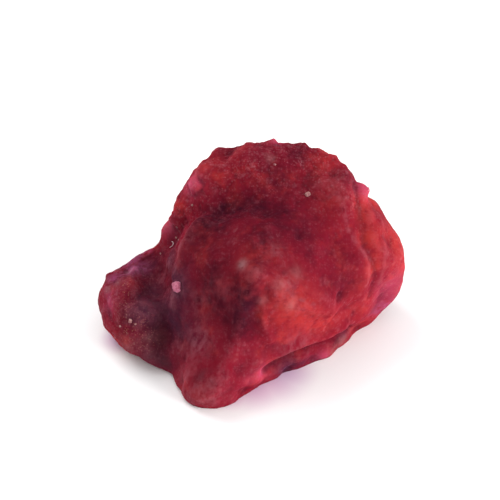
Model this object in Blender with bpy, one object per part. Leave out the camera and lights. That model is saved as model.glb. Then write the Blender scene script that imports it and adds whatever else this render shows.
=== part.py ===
"""Raw ruby crystal: one lump of rough red corundum, about 14 mm across.

The stone is a single grown piece. It lies on a table at Z = 0 on its worn-flat base and feet, with
its origin at the middle of its base. Lobes blend into one smooth body, hollows and flats are worn
out of it, and small blocky crystals stand on its crest and edges. Ridges, grooves, knobs, pits,
swells and pebbled grain are then raised over all of it. Lengths are in millimetres up to the last
step, in metres.
"""

import math

import bmesh
import bpy
import numpy as np

# ---------------------------------------------------------------- driving dimensions, millimetres
NAME = "ruby_crystal"
MILLIMETRE = 0.001
HEART = (0.2, -0.2, 4.2)  # a point inside, which longitudes and latitudes are taken from
BASE_MIDDLE = (0.0717, -0.4105)  # the middle of the base, which is moved to the origin at the end
REACH = 12.0  # no part of the stone is further than this from HEART
FIRST_CUTS = 6  # cuts along each edge of the cube that the grid starts from
SPREAD_ROUNDS = (40, 15, 8)  # at each fineness of the grid, which is halved between them
SPREAD_SHARE = 0.7  # of the way to its new place that a point moves in a round
TRACE_STEPS = 40
TRACE_SHARE = 0.8  # of the distance to the surface that each step takes, to stay outside it
NUDGE = 0.02  # how far to each side of a point its slope is measured
LEAST_STEEPNESS = 0.25  # squared slopes below this are taken as this, so that no move is wild
LOBE_BLEND = 0.40  # how softly the lobes flow into each other
HOLLOW_BLEND = 0.35
FLAT_BLEND = 0.25
TINY = 1e-300  # keeps a logarithm or a division off nothing

# Each lobe or hollow is an egg: its middle, its half-lengths, and its turn about X, Y and Z in degrees.
LOBES = {
    "heart": ((1.2, 0.7, 3.3), (4.5, 3.8, 3.3), (0, 0, 0)),
    "back_crest": ((1.05, 3.1, 5.4), (3.95, 1.9, 2.35), (0, 4, 0)),
    "left_wing": ((-2.1, 2.3, 4.2), (1.5, 1.5, 2.0), (0, 20, 0)),
    "boss": ((0.5, -1.4, 4.1), (3.1, 2.6, 2.5), (0, 0, 0)),
    "left_rim": ((-2.5, -0.9, 3.55), (1.2, 1.5, 2.5), (-30, 20, 0)),
    "belly": ((2.3, -2.0, 2.9), (3.0, 2.1, 1.8), (0, 6, 10)),
    "shoulder": ((4.0, 1.0, 5.05), (1.2, 1.6, 2.7), (-42, 0, 0)),
    "right_flank": ((4.95, 0.9, 2.88), (2.1, 2.65, 2.95), (0, 0, 0)),
    "front_foot": ((-1.7, -3.9, 0.8), (1.75, 2.1, 1.5), (0, 0, 8)),
    "front_web": ((-0.5, -2.9, 1.9), (1.5, 1.6, 1.9), (0, 0, 0)),
    "foot_wedge": ((-0.3, -3.65, 0.6), (1.4, 1.05, 1.15), (0, 0, 30)),
    "left_foot": ((-4.8, -0.35, 1.5), (2.0, 2.55, 2.0), (0, -8, 0)),
    "saddle": ((-3.05, 0.6, 2.3), (1.8, 1.8, 1.7), (0, 12, 0)),
    "left_slope": ((-3.4, -1.2, 2.85), (0.95, 1.5, 1.55), (0, 20, 0)),
    "valley_floor": ((-3.4, -1.95, 1.45), (1.7, 1.95, 1.85), (0, 10, 0)),
    "right_foot": ((2.4, -0.85, 0.8), (3.4, 3.8, 1.7), (0, 0, 0)),
    "back_knuckle": ((2.8, 3.6, 2.2), (1.7, 1.3, 1.4), (0, 20, 0)),
    "back_root": ((-0.9, 2.6, 1.1), (1.6, 1.5, 1.3), (0, 0, 30)),
}
HOLLOWS = {
    "left_valley": ((-3.9, -4.5, 2.6), (1.1, 2.2, 2.0), (0, 0, 0)),
    "upper_valley": ((-4.3, -1.5, 4.7), (0.95, 2.8, 1.8), (-25, 0, 8)),
    "back_dent": ((0.9, 5.3, 2.6), (1.5, 1.2, 1.5), (0, 35, 0)),
    "back_notch": ((-3.2, 3.5, 2.2), (1.1, 1.2, 2.0), (0, -20, 0)),
    "under_belly": ((2.4, -5.45, 0.0), (1.9, 1.4, 1.2), (0, -6, 12)),
    "under_back": ((2.4, 4.6, -0.2), (2.4, 1.2, 1.2), (0, 0, 0)),
}
# Each flat is a worn face: its facing as longitude and latitude in degrees, and its distance from HEART.
FLATS = {
    "front_right": ((-52, -8), 4.21),
    "upper_right": ((28, 27), 5.86),
    "upper_left": ((136, 38), 4.96),
    "crest": ((80, 47), 5.42),
    "under_right": ((-43, -30), 6.2),
    "back_right": ((62, -2), 5.0),
    "back_left": ((118, -6), 4.45),
}
# Each crystal is a block that stands out of the surface: where it is, as longitude and latitude from
# HEART, its half-lengths, and its turn about X, Y and Z in degrees.
CRYSTALS = {
    "right_nub": ((21, 25), (0.27, 0.29, 0.34), (25, 20, 30)),
    "left_corner": ((138, 32), (0.33, 0.31, 0.28), (10, 35, 20)),
    "crest_left": ((93, 41), (0.30, 0.24, 0.20), (20, 5, 10)),
    "crest_middle": ((80, 40), (0.32, 0.32, 0.34), (35, 12, 40)),
    "crest_right": ((60, 37), (0.28, 0.25, 0.23), (15, -12, -15)),
    "crest_end": ((41, 33), (0.27, 0.26, 0.24), (40, 10, 25)),
    "left_step": ((153, 9), (0.32, 0.34, 0.34), (0, 30, 35)),
    "foot_block": ((177, -13), (0.34, 0.30, 0.22), (10, -20, 30)),
    "foot_end": ((-176, -14), (0.28, 0.32, 0.24), (15, 30, 5)),
    "foot_tip": ((-163, -22), (0.24, 0.28, 0.24), (5, 40, 25)),
    "back_block": ((88, 4), (0.60, 0.42, 0.46), (10, 30, 12)),
    "back_cube": ((104, -12), (0.42, 0.40, 0.40), (30, 10, 35)),
    "back_tooth": ((52, 6), (0.40, 0.40, 0.55), (15, 25, 40)),
    "back_low": ((74, -34), (0.50, 0.36, 0.34), (0, 15, 25)),
}
CRYSTAL_SINK = 0.13  # how deep a crystal's middle is under the surface
# Each fold is a ridge (or, where its height is less than 0, a groove): its height, its half-width, and
# the longitudes and latitudes that it runs through, seen from HEART. Longitude 0 is +X and -90 is -Y.
FOLDS = {
    "behind_the_boss": (-0.32, 0.6, (
        (161, 1), (158, 27), (150, 54), (104, 72), (40, 74))),
    "shoulder_fold": (-0.10, 0.6, (
        (30, 60), (4, 47), (-17, 30), (-29, 9), (-28, -11))),
    "left_edge": (0.12, 0.45, ((155, 39), (-177, 31), (-168, 17), (-161, 0), (-150, -16), (-139, -32))),
    "upper_left_edge": (0.16, 0.4, ((150, 41), (-177, 31), (-168, 17))),
    "front_edge": (0.3, 0.45, ((-90, 29), (-98, 3), (-102, -18), (-109, -25))),
    "belly_edge": (0.2, 0.4, ((-90, 29), (-63, 18), (-44, 2), (-36, -12))),
    "under_lip": (-0.38, 0.26, (
        (-82, -37), (-70, -36), (-56, -37), (-42, -38), (-30, -36), (-20, -35))),
    "belly_lip": (0.14, 0.35, (
        (-86, -29), (-70, -30), (-55, -31), (-37, -33), (-25, -30))),
    "right_groove": (-0.14, 0.3, ((21, 31), (5, 22), (-9, 10), (-11, -16))),
    "belly_swirl": (0.14, 0.28, ((-76, 14), (-68, 9), (-56, 0), (-46, -8))),
    "belly_seam": (0.10, 0.22, ((-86, 12), (-84, -4), (-80, -18))),
    "back_seam": (-0.28, 0.3, ((58, 30), (72, 14), (70, -8), (60, -30))),
    "back_rib": (0.25, 0.4, ((112, 34), (106, 12), (118, -14), (112, -34))),
}
FOLD_STEPS = 5  # straight pieces to each stretch of a fold's route
# Each knob (or, where its height is less than 0, pit): its height, its half-width, and where it is.
KNOBS = {
    "boss_knob": (0.12, 0.35, (-113, 19)),
    "boss_top": (0.10, 0.30, (-60, 66)),
    "front_toe": (0.16, 0.40, (-90, -27)),
    "crest_knob": (0.24, 0.45, (130, 36)),
    "right_knob": (0.14, 0.30, (7, 20)),
    "flank_knob": (0.12, 0.40, (2, -2)),
    "heel_knob": (0.10, 0.45, (-150, -22)),
    "foot_shoulder": (0.14, 0.40, (180, -6)),
    "left_bulge": (0.38, 0.50, (154, -3)),
    "right_bump": (0.18, 0.45, (18, 23)),
    "low_right_pit": (-0.28, 0.65, (-10, -39)),
    "upper_left_dent": (-0.18, 0.60, (108, 38)),
    "back_left_dent": (-0.20, 0.50, (146, 25)),
    "foot_top_dent": (-0.30, 0.75, (173, -10)),
    "saddle_dent": (-0.20, 0.60, (164, -11)),
    "right_brow": (0.16, 0.60, (21, 11)),
    "right_dent": (-0.12, 0.50, (4, 1)),
    "right_waist": (-0.16, 0.50, (3, 7)),
    "right_cheek": (0.17, 0.60, (3, -19)),
    "toe_corner": (-0.16, 0.50, (-97, -35)),
    "toe_side": (-0.20, 0.50, (-95, -39)),
    "lip_dent": (-0.22, 0.45, (-66, -47)),
    "low_lip": (0.20, 0.50, (-35, -46)),
    "lobe_side": (-0.12, 0.45, (-126, -32)),
    "lobe_crook": (-0.12, 0.45, (-141, -35)),
    "toe_pit": (-0.12, 0.50, (-163, -24)),
    "foot_side": (-0.20, 0.50, (-168, -17)),
    "boss_pit": (-0.14, 0.22, (-79, 54)),
    "upper_pit": (-0.16, 0.30, (28, 38)),
    "side_pit": (-0.18, 0.32, (-31, -5)),
    "valley_pit": (-0.14, 0.40, (-131, -1)),
    "shoulder_pit": (-0.12, 0.25, (-29, 45)),
    "back_pit": (-0.25, 0.45, (84, -16)),
}
# Each layer of relief: its half-height, the size of its swells or pebbles, and its own number, which
# keeps its pattern apart from the others'.
NOISE_GAIN = 1.6  # brings the swells to about -1 to 1
SWELL_LAYERS = ((0.16, 2.3, 1), (0.09, 1.15, 2))
PEBBLE_LAYERS = ((0.055, 0.95, 3),)

# ---------------------------------------------------------------- what it is made of
RUBY = (0.30, 0.012, 0.028, 1.0)
RUBY_ROUGHNESS = 0.45

def turned(degrees):
    """The matrix whose rows are the axes of something turned about X, then Y, then Z."""
    x, y, z = (math.radians(angle) for angle in degrees)
    about_x = np.array([[1, 0, 0], [0, math.cos(x), -math.sin(x)], [0, math.sin(x), math.cos(x)]])
    about_y = np.array([[math.cos(y), 0, math.sin(y)], [0, 1, 0], [-math.sin(y), 0, math.cos(y)]])
    about_z = np.array([[math.cos(z), -math.sin(z), 0], [math.sin(z), math.cos(z), 0], [0, 0, 1]])
    return (about_z @ about_y @ about_x).T

def facing(longitudes_latitudes):
    """Unit vectors from (longitude, latitude) pairs in degrees."""
    longitude, latitude = np.radians(np.atleast_2d(longitudes_latitudes)).T
    across = np.cos(latitude)
    return np.stack([across * np.cos(longitude), across * np.sin(longitude), np.sin(latitude)], axis=1)

def egg_distance(points, middle, halves, turn):
    """About how far each point is outside an egg: k (k - 1) / m, where k is the point's length in
    half-lengths and m its length in half-lengths squared."""
    local = (points - middle) @ turned(turn).T
    k = np.linalg.norm(local / halves, axis=1)
    m = np.linalg.norm(local / np.square(halves), axis=1)
    return k * (k - 1.0) / np.maximum(m, TINY)

def body_distance(points):
    """About how far each point is outside the worn body: the soft least of the distances to the lobes,
    and then the soft most of that, of the depths inside the hollows and of the heights over the flats."""
    near = sum(np.exp(-egg_distance(points, *lobe) / LOBE_BLEND) for lobe in LOBES.values())
    body = -LOBE_BLEND * np.log(near + TINY)
    inside = sum(np.exp(-egg_distance(points, *hollow) / HOLLOW_BLEND) for hollow in HOLLOWS.values())
    body = HOLLOW_BLEND * np.log(np.exp(body / HOLLOW_BLEND) + inside)
    above = sum(np.exp(((points - HEART) @ facing(face)[0] - away) / FLAT_BLEND)
                for face, away in FLATS.values())
    return FLAT_BLEND * np.log(np.exp(body / FLAT_BLEND) + above)

def outermost(directions):
    """The body's outermost point in each direction from HEART, found by stepping in from outside."""
    reach = np.full(len(directions), REACH)
    for _ in range(TRACE_STEPS):
        points = HEART + directions * reach[:, None]
        reach -= TRACE_SHARE * body_distance(points)
    return HEART + directions * reach[:, None]

def uphill(points):
    """The slope of the body's distance at each point: its direction is the outward normal."""
    rise = [body_distance(points + axis) - body_distance(points - axis) for axis in np.eye(3) * NUDGE]
    return np.transpose(rise) / (2 * NUDGE)

def spread(points, quads, rounds):
    """The points spread more evenly: in each round a point moves along the surface toward the middle of
    the cells round it, big cells counting for more, and then back onto the surface down its slope."""
    for _ in range(rounds):
        corners = points[quads]
        size = np.linalg.norm(np.cross(corners[:, 2] - corners[:, 0], corners[:, 3] - corners[:, 1]), axis=1)
        pull = np.zeros_like(points)
        weight = np.zeros((len(points), 1))
        for corner in quads.T:
            np.add.at(pull, corner, size[:, None] * corners.mean(axis=1))
            np.add.at(weight, corner, size[:, None])
        slope = uphill(points)
        steepness = np.maximum(np.sum(slope * slope, axis=1, keepdims=True), LEAST_STEEPNESS)
        move = SPREAD_SHARE * (pull / weight - points)
        move -= slope * np.sum(move * slope, axis=1, keepdims=True) / steepness
        points = points + move
        points = points - slope * (body_distance(points)[:, None] / steepness)
    return points

def route(path):
    """Points on the body along a smooth line through the path's directions (a Catmull-Rom curve)."""
    ends = facing(path)
    ends = np.vstack([2 * ends[0] - ends[1], ends, 2 * ends[-1] - ends[-2]])
    t = np.linspace(0, 1, FOLD_STEPS, endpoint=False)[:, None]
    weights = [-t + 2 * t**2 - t**3, 2 - 5 * t**2 + 3 * t**3, t + 4 * t**2 - 3 * t**3, t**3 - t**2]
    stretches = [sum(w * ends[i + j] for j, w in enumerate(weights)) / 2 for i in range(len(ends) - 3)]
    line = np.vstack([*stretches, ends[-2]])
    return outermost(line / np.linalg.norm(line, axis=1, keepdims=True))

def segment_distance(points, start, end):
    """How far each point is from the straight line between start and end."""
    along = end - start
    share = np.clip((points - start) @ along / (along @ along), 0, 1)
    return np.linalg.norm(points - start - share[:, None] * along, axis=1)

def named_relief(points):
    """The height that the folds and knobs add: each is a bell across its path or round its place."""
    height = np.zeros(len(points))
    for rise, half_width, path in FOLDS.values():
        corners = route(path)
        away = np.min([segment_distance(points, *ends) for ends in zip(corners, corners[1:])], axis=0)
        height += rise * np.exp(-np.square(away / half_width))
    for rise, half_width, where in KNOBS.values():
        away = np.linalg.norm(points - outermost(facing(where)), axis=1)
        height += rise * np.exp(-np.square(away / half_width))
    return height

def scattered(cells, salt):
    """A fixed number from 0 to 1 for each cell of a lattice, well mixed and the same every time."""
    keys = (cells @ np.array([73856093, 19349663, 83492791]) + salt * 15485863) & 0xFFFFFFFF
    for _ in range(2):
        keys = (keys ^ (keys >> 16)) * 73244475 & 0xFFFFFFFF
    return (keys ^ (keys >> 16)) / 0xFFFFFFFF

def swells(points, size, salt):
    """Smooth noise from about -1 to 1: a fixed slope is set at each corner of a lattice, and at each
    point the slopes of the eight corners round it are blended (gradient noise)."""
    spots = points / size
    cells = np.floor(spots).astype(np.int64)
    inside = spots - cells
    ease = inside**3 * (inside * (inside * 6 - 15) + 10)
    total = np.zeros(len(points))
    for corner in np.ndindex(2, 2, 2):
        share = np.prod(np.where(corner, ease, 1 - ease), axis=1)
        slope = np.stack([scattered(cells + corner, 8 * salt + axis) for axis in range(3)], axis=1)
        total += share * np.sum((2 * slope - 1) * (inside - corner), axis=1)
    return NOISE_GAIN * total

def pebbles(points, size, salt):
    """Round tops from 0 to 1, each over one of the points that are scattered one to a lattice cell."""
    spots = points / size
    cells = np.floor(spots).astype(np.int64)
    nearest = np.ones(len(points))
    for step in np.ndindex(3, 3, 3):
        cell = cells + step - 1
        top = cell + np.stack([scattered(cell, 8 * salt + axis) for axis in range(3)], axis=1)
        nearest = np.minimum(nearest, np.sum(np.square(spots - top), axis=1))
    return 1 - nearest

def crystal_relief(points, normals):
    """How far each point is below the top of the crystal that it is in, measured along its normal."""
    height = np.zeros(len(points))
    for where, halves, turn in CRYSTALS.values():
        axes = turned(turn).T
        outward = facing(where)
        local = (points - outermost(outward) + CRYSTAL_SINK * outward) @ axes
        climb = normals @ axes
        climb = np.where(np.abs(climb) < NUDGE, NUDGE, climb)
        way_out = np.min((np.sign(climb) * halves - local) / climb, axis=1)
        inside = np.all(np.abs(local) < halves, axis=1)
        height = np.maximum(height, np.where(inside, way_out, 0))
    return height

def relief(points, normals):
    """All the height that is added along the normals."""
    height = named_relief(points) + crystal_relief(points, normals)
    for half_height, size, salt in SWELL_LAYERS:
        height += half_height * swells(points, size, salt)
    for half_height, size, salt in PEBBLE_LAYERS:
        height += half_height * (2 * pebbles(points, size, salt) - 1)
    return height

def cube_directions(bm):
    """The direction of each vertex of a cube's grid, spread so that its cells turn equal angles."""
    points = np.array([vertex.co for vertex in bm.verts])
    warped = np.tan(points * math.pi / 4)
    return warped / np.linalg.norm(warped, axis=1, keepdims=True)

def place(bm, points):
    for vertex, point in zip(bm.verts, points):
        vertex.co = point

def build_stone():
    bm = bmesh.new()
    bmesh.ops.create_cube(bm, size=2.0)
    bmesh.ops.subdivide_edges(bm, edges=bm.edges[:], cuts=FIRST_CUTS, use_grid_fill=True)
    place(bm, outermost(cube_directions(bm)))
    for level, rounds in enumerate(SPREAD_ROUNDS):
        if level:
            bmesh.ops.subdivide_edges(bm, edges=bm.edges[:], cuts=1, use_grid_fill=True)
        quads = np.array([[vertex.index for vertex in face.verts] for face in bm.faces])
        points = spread(np.array([vertex.co for vertex in bm.verts]), quads, rounds)
        place(bm, points)
    normals = uphill(points)
    normals /= np.linalg.norm(normals, axis=1, keepdims=True)
    points += normals * relief(points, normals)[:, None]
    points[:, :2] -= BASE_MIDDLE
    points[:, 2] = np.maximum(points[:, 2], 0.0)
    place(bm, points * MILLIMETRE)
    bmesh.ops.recalc_face_normals(bm, faces=bm.faces[:])
    mesh = bpy.data.meshes.new(NAME)
    bm.to_mesh(mesh)
    bm.free()
    return mesh

def ruby_material():
    material = bpy.data.materials.new("rough_ruby")
    material.use_nodes = True
    shader = material.node_tree.nodes["Principled BSDF"]
    shader.inputs["Base Color"].default_value = RUBY
    shader.inputs["Roughness"].default_value = RUBY_ROUGHNESS
    return material

def main():
    for other in list(bpy.data.objects):
        bpy.data.objects.remove(other)
    stone = bpy.data.objects.new(NAME, build_stone())
    stone.data.materials.append(ruby_material())
    collection = bpy.data.collections.new("raw_ruby_crystal")
    bpy.context.scene.collection.children.link(collection)
    collection.objects.link(stone)

main()
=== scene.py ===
"""A raw ruby crystal on a pale studio floor.

A lump of rough red corundum, waxy and a little see-through, with a sugary worn skin. The sections
follow the stone as it grew and wore: its lump, its ridges and small crystals, its grain, its colours,
its material, and the dirt that sticks to it. The floor, the lights and the camera come last.
"""

import math

import bpy
import numpy as np
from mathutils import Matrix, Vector


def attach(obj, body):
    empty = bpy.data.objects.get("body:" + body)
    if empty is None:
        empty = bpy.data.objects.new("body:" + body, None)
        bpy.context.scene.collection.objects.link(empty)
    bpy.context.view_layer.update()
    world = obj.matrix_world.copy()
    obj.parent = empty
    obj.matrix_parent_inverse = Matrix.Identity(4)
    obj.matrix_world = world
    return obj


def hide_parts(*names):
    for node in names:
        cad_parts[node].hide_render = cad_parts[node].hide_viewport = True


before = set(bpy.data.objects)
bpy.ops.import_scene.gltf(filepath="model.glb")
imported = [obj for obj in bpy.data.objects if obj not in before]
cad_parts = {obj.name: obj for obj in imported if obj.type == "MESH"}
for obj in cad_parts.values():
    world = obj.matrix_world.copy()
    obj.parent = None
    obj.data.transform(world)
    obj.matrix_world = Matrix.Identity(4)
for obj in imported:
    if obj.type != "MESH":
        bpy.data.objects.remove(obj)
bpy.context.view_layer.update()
MILLIMETRE = 0.001

# ---------------------------------------------------------------------------------------------
# The lump: one grown body of corundum, worn round like a pebble. A rounded boss stands in front
# of a high crest, with a flank on the right, a foot on the left and another in front. Each lobe
# or hollow is an egg: its middle, its half-lengths in millimetres and its turn in degrees.
# ---------------------------------------------------------------------------------------------
LOBES = {
    "heart": ((1.2, 0.7, 3.3), (4.5, 3.8, 3.3), (0, 0, 0)),
    "back_crest": ((1.05, 3.1, 5.4), (3.95, 1.9, 2.35), (0, 4, 0)),
    "left_wing": ((-2.1, 2.3, 4.2), (1.5, 1.5, 2.0), (0, 20, 0)),
    "boss": ((0.5, -1.4, 4.1), (3.1, 2.6, 2.5), (0, 0, 0)),
    "left_rim": ((-2.5, -0.9, 3.55), (1.2, 1.5, 2.5), (-30, 20, 0)),
    "belly": ((2.3, -2.0, 2.9), (3.0, 2.1, 1.8), (0, 6, 10)),
    "shoulder": ((4.0, 1.0, 5.05), (1.2, 1.6, 2.7), (-42, 0, 0)),
    "right_flank": ((4.95, 0.9, 2.88), (2.1, 2.65, 2.95), (0, 0, 0)),
    "front_foot": ((-1.7, -3.9, 0.8), (1.75, 2.1, 1.5), (0, 0, 8)),
    "front_web": ((-0.5, -2.9, 1.9), (1.5, 1.6, 1.9), (0, 0, 0)),
    "foot_wedge": ((-0.3, -3.65, 0.6), (1.4, 1.05, 1.15), (0, 0, 30)),
    "left_foot": ((-4.8, -0.35, 1.5), (2.0, 2.55, 2.0), (0, -8, 0)),
    "saddle": ((-3.05, 0.6, 2.3), (1.8, 1.8, 1.7), (0, 12, 0)),
    "left_slope": ((-3.4, -1.2, 2.85), (0.95, 1.5, 1.55), (0, 20, 0)),
    "valley_floor": ((-3.4, -1.95, 1.45), (1.7, 1.95, 1.85), (0, 10, 0)),
    "right_foot": ((2.4, -0.85, 0.8), (3.4, 3.8, 1.7), (0, 0, 0)),
    "back_knuckle": ((2.8, 3.6, 2.2), (1.7, 1.3, 1.4), (0, 20, 0)),
    "back_root": ((-0.9, 2.6, 1.1), (1.6, 1.5, 1.3), (0, 0, 30)),
}
HOLLOWS = {
    "left_valley": ((-3.9, -4.5, 2.6), (1.1, 2.2, 2.0), (0, 0, 0)),
    "upper_valley": ((-4.3, -1.5, 4.7), (0.95, 2.8, 1.8), (-25, 0, 8)),
    "back_dent": ((0.9, 5.3, 2.6), (1.5, 1.2, 1.5), (0, 35, 0)),
    "back_notch": ((-3.2, 3.5, 2.2), (1.1, 1.2, 2.0), (0, -20, 0)),
    "under_belly": ((2.4, -5.45, 0.0), (1.9, 1.4, 1.2), (0, -6, 12)),
    "under_back": ((2.4, 4.6, -0.2), (2.4, 1.2, 1.2), (0, 0, 0)),
}
# Each flat is a worn face: its facing as longitude and latitude in degrees, and its distance from HEART.
FLATS = {
    "front_right": ((-52, -8), 4.21),
    "upper_right": ((28, 27), 5.86),
    "upper_left": ((136, 38), 4.96),
    "crest": ((80, 47), 5.42),
    "under_right": ((-43, -30), 6.2),
    "back_right": ((62, -2), 5.0),
    "back_left": ((118, -6), 4.45),
}
HEART = (0.2, -0.2, 4.2)  # a point inside, which longitudes and latitudes are taken from
BASE_MIDDLE = (0.0717, -0.4105)  # the middle of the base, which is moved to the origin at the end
LOBE_BLEND, HOLLOW_BLEND, FLAT_BLEND = 0.40, 0.35, 0.25  # how softly the shapes flow together
REACH = 12.0  # how far from HEART the search for the surface begins
TRACE_STEPS, TRACE_SHARE = 40, 0.8  # steps inward, each this share of the distance that is left
NUDGE = 0.02  # how far to each side of a point its slope is measured
LEAST_STEEPNESS = 0.25  # keeps a point from being thrown far off where the slope is slight
TINY = 1e-300  # keeps a logarithm or a division off nothing
FIRST_CELLS = 8  # along each edge of the cube that the skin's grid starts from
SPREAD_ROUNDS = (40, 15, 8, 4, 2)  # at each fineness of the grid, which is doubled between them
SPREAD_SHARE = 0.7  # of the way to the middle that a point moves in one round


def turned(degrees):
    """The matrix whose rows are the axes of something turned about X, then Y, then Z."""
    x, y, z = (math.radians(angle) for angle in degrees)
    about_x = np.array([[1, 0, 0], [0, math.cos(x), -math.sin(x)], [0, math.sin(x), math.cos(x)]])
    about_y = np.array([[math.cos(y), 0, math.sin(y)], [0, 1, 0], [-math.sin(y), 0, math.cos(y)]])
    about_z = np.array([[math.cos(z), -math.sin(z), 0], [math.sin(z), math.cos(z), 0], [0, 0, 1]])
    return (about_z @ about_y @ about_x).T


def facing(longitudes_latitudes):
    """Unit vectors from (longitude, latitude) pairs in degrees."""
    longitude, latitude = np.radians(np.atleast_2d(longitudes_latitudes)).T
    across = np.cos(latitude)
    return np.stack([across * np.cos(longitude), across * np.sin(longitude), np.sin(latitude)], axis=1)


def egg_distance(points, middle, halves, turn):
    """About how far each point is outside an egg: k (k - 1) / m, where k is the point's length in
    half-lengths and m its length in half-lengths squared."""
    local = (points - middle) @ turned(turn).T
    k = np.linalg.norm(local / halves, axis=1)
    m = np.linalg.norm(local / np.square(halves), axis=1)
    return k * (k - 1.0) / np.maximum(m, TINY)


def lump_distance(points):
    """About how far each point is outside the lump: the soft least of the distances to the lobes,
    and then the soft most of that, of the depths inside the hollows and of the heights over the flats."""
    near = sum(np.exp(-egg_distance(points, *lobe) / LOBE_BLEND) for lobe in LOBES.values())
    body = -LOBE_BLEND * np.log(near + TINY)
    inside = sum(np.exp(-egg_distance(points, *hollow) / HOLLOW_BLEND) for hollow in HOLLOWS.values())
    body = HOLLOW_BLEND * np.log(np.exp(body / HOLLOW_BLEND) + inside)
    above = sum(np.exp(((points - HEART) @ facing(face)[0] - away) / FLAT_BLEND)
                for face, away in FLATS.values())
    return FLAT_BLEND * np.log(np.exp(body / FLAT_BLEND) + above)


def outermost(directions):
    """The lump's outermost point in each direction from HEART, found by stepping in from outside."""
    reach = np.full(len(directions), REACH)
    for _ in range(TRACE_STEPS):
        points = HEART + directions * reach[:, None]
        reach -= TRACE_SHARE * lump_distance(points)
    return HEART + directions * reach[:, None]


def uphill(points):
    """The slope of the lump's distance at each point: its direction is the outward normal."""
    rise = [lump_distance(points + axis) - lump_distance(points - axis) for axis in np.eye(3) * NUDGE]
    return np.transpose(rise) / (2 * NUDGE)


def cube_sheets(cells):
    """Six square sheets that close into a cube: the whole-number place of each point by sheet, row and
    column, with each sheet's rows and columns running so that its cells face outward."""
    steps = np.arange(-cells, cells + 1, 2)
    sheets = []
    for axis in range(3):
        for side in (-cells, cells):
            sheet = np.empty((cells + 1, cells + 1, 3), int)
            sheet[..., axis] = side
            sheet[..., (axis + 1) % 3] = steps[:, None]
            sheet[..., (axis + 2) % 3] = steps[None, :]
            sheets.append(sheet if side > 0 else sheet.transpose(1, 0, 2))
    return np.array(sheets)


def joined(cells):
    """The sheets' points with each shared border joined: the places, each sheet point's number in them,
    and the four corner numbers of each cell."""
    places, numbers = np.unique(cube_sheets(cells).reshape(-1, 3), axis=0, return_inverse=True)
    numbers = numbers.reshape(6, cells + 1, cells + 1)
    corners = [numbers[:, :-1, :-1], numbers[:, 1:, :-1], numbers[:, 1:, 1:], numbers[:, :-1, 1:]]
    return places, numbers, np.stack(corners, axis=-1).reshape(-1, 4)


def doubled(rows):
    """Sheets of points with a new point halfway between each two, along the rows and the columns."""
    for _ in range(2):
        fine = np.repeat(rows, 2, axis=1)[:, :-1]
        fine[:, 1::2] = (rows[:, :-1] + rows[:, 1:]) / 2
        rows = fine.transpose(0, 2, 1, 3)
    return rows


def spread(points, quads, rounds):
    """The points spread more evenly: in each round a point moves along the surface toward the middle of
    the cells round it, big cells counting for more, and then back onto the surface down its slope."""
    for _ in range(rounds):
        corners = points[quads]
        diagonals = corners[:, 2:] - corners[:, :2]
        size = np.linalg.norm(np.cross(diagonals[:, 0], diagonals[:, 1]), axis=1)
        heavy = size[:, None] * corners.mean(axis=1)
        weight = sum(np.bincount(corner, size, len(points)) for corner in quads.T)
        pull = sum(np.stack([np.bincount(corner, part, len(points)) for part in heavy.T], axis=1)
                   for corner in quads.T)
        slope = uphill(points)
        steepness = np.maximum(np.sum(slope * slope, axis=1, keepdims=True), LEAST_STEEPNESS)
        move = SPREAD_SHARE * (pull / weight[:, None] - points)
        move -= slope * np.sum(move * slope, axis=1, keepdims=True) / steepness
        points = points + move
        points = points - slope * (lump_distance(points)[:, None] / steepness)
    return points


def lump_skin():
    """The lump's surface as a closed grid. Its two parameters are the row and the column on each of six
    sheets round a cube; each point is traced out from HEART and the grid is then evened and doubled."""
    cells = FIRST_CELLS
    places, numbers, quads = joined(cells)
    warped = np.tan(places / cells * math.pi / 4)
    points = outermost(warped / np.linalg.norm(warped, axis=1, keepdims=True))
    for level, rounds in enumerate(SPREAD_ROUNDS):
        if level:
            finer = doubled(points[numbers])
            cells *= 2
            places, numbers, quads = joined(cells)
            points = np.empty((len(places), 3))
            points[numbers] = finer
        points = spread(points, quads, rounds)
    return points, quads


skin, skin_quads = lump_skin()
skin_normals = uphill(skin)
skin_normals /= np.linalg.norm(skin_normals, axis=1, keepdims=True)

# ---------------------------------------------------------------------------------------------
# Ridges, grooves and small crystals: the worn edges of the lump's big faces, the grooves where
# its growths meet, knobs and pits, and little blocks of corundum that stand along its crest.
# Each is named with its height and half-width, and its place as longitude and latitude.
# ---------------------------------------------------------------------------------------------
FOLDS = {
    "behind_the_boss": (-0.32, 0.6, (
        (161, 1), (158, 27), (150, 54), (104, 72), (40, 74))),
    "shoulder_fold": (-0.10, 0.6, (
        (30, 60), (4, 47), (-17, 30), (-29, 9), (-28, -11))),
    "left_edge": (0.12, 0.45, ((155, 39), (-177, 31), (-168, 17), (-161, 0), (-150, -16), (-139, -32))),
    "upper_left_edge": (0.16, 0.4, ((150, 41), (-177, 31), (-168, 17))),
    "front_edge": (0.3, 0.45, ((-90, 29), (-98, 3), (-102, -18), (-109, -25))),
    "belly_edge": (0.2, 0.4, ((-90, 29), (-63, 18), (-44, 2), (-36, -12))),
    "under_lip": (-0.38, 0.26, (
        (-82, -37), (-70, -36), (-56, -37), (-42, -38), (-30, -36), (-20, -35))),
    "belly_lip": (0.14, 0.35, (
        (-86, -29), (-70, -30), (-55, -31), (-37, -33), (-25, -30))),
    "right_groove": (-0.14, 0.3, ((21, 31), (5, 22), (-9, 10), (-11, -16))),
    "belly_swirl": (0.14, 0.28, ((-76, 14), (-68, 9), (-56, 0), (-46, -8))),
    "belly_seam": (0.10, 0.22, ((-86, 12), (-84, -4), (-80, -18))),
    "back_seam": (-0.28, 0.3, ((58, 30), (72, 14), (70, -8), (60, -30))),
    "back_rib": (0.25, 0.4, ((112, 34), (106, 12), (118, -14), (112, -34))),
}
FOLD_STEPS = 5  # points along each stretch of a path
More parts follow.
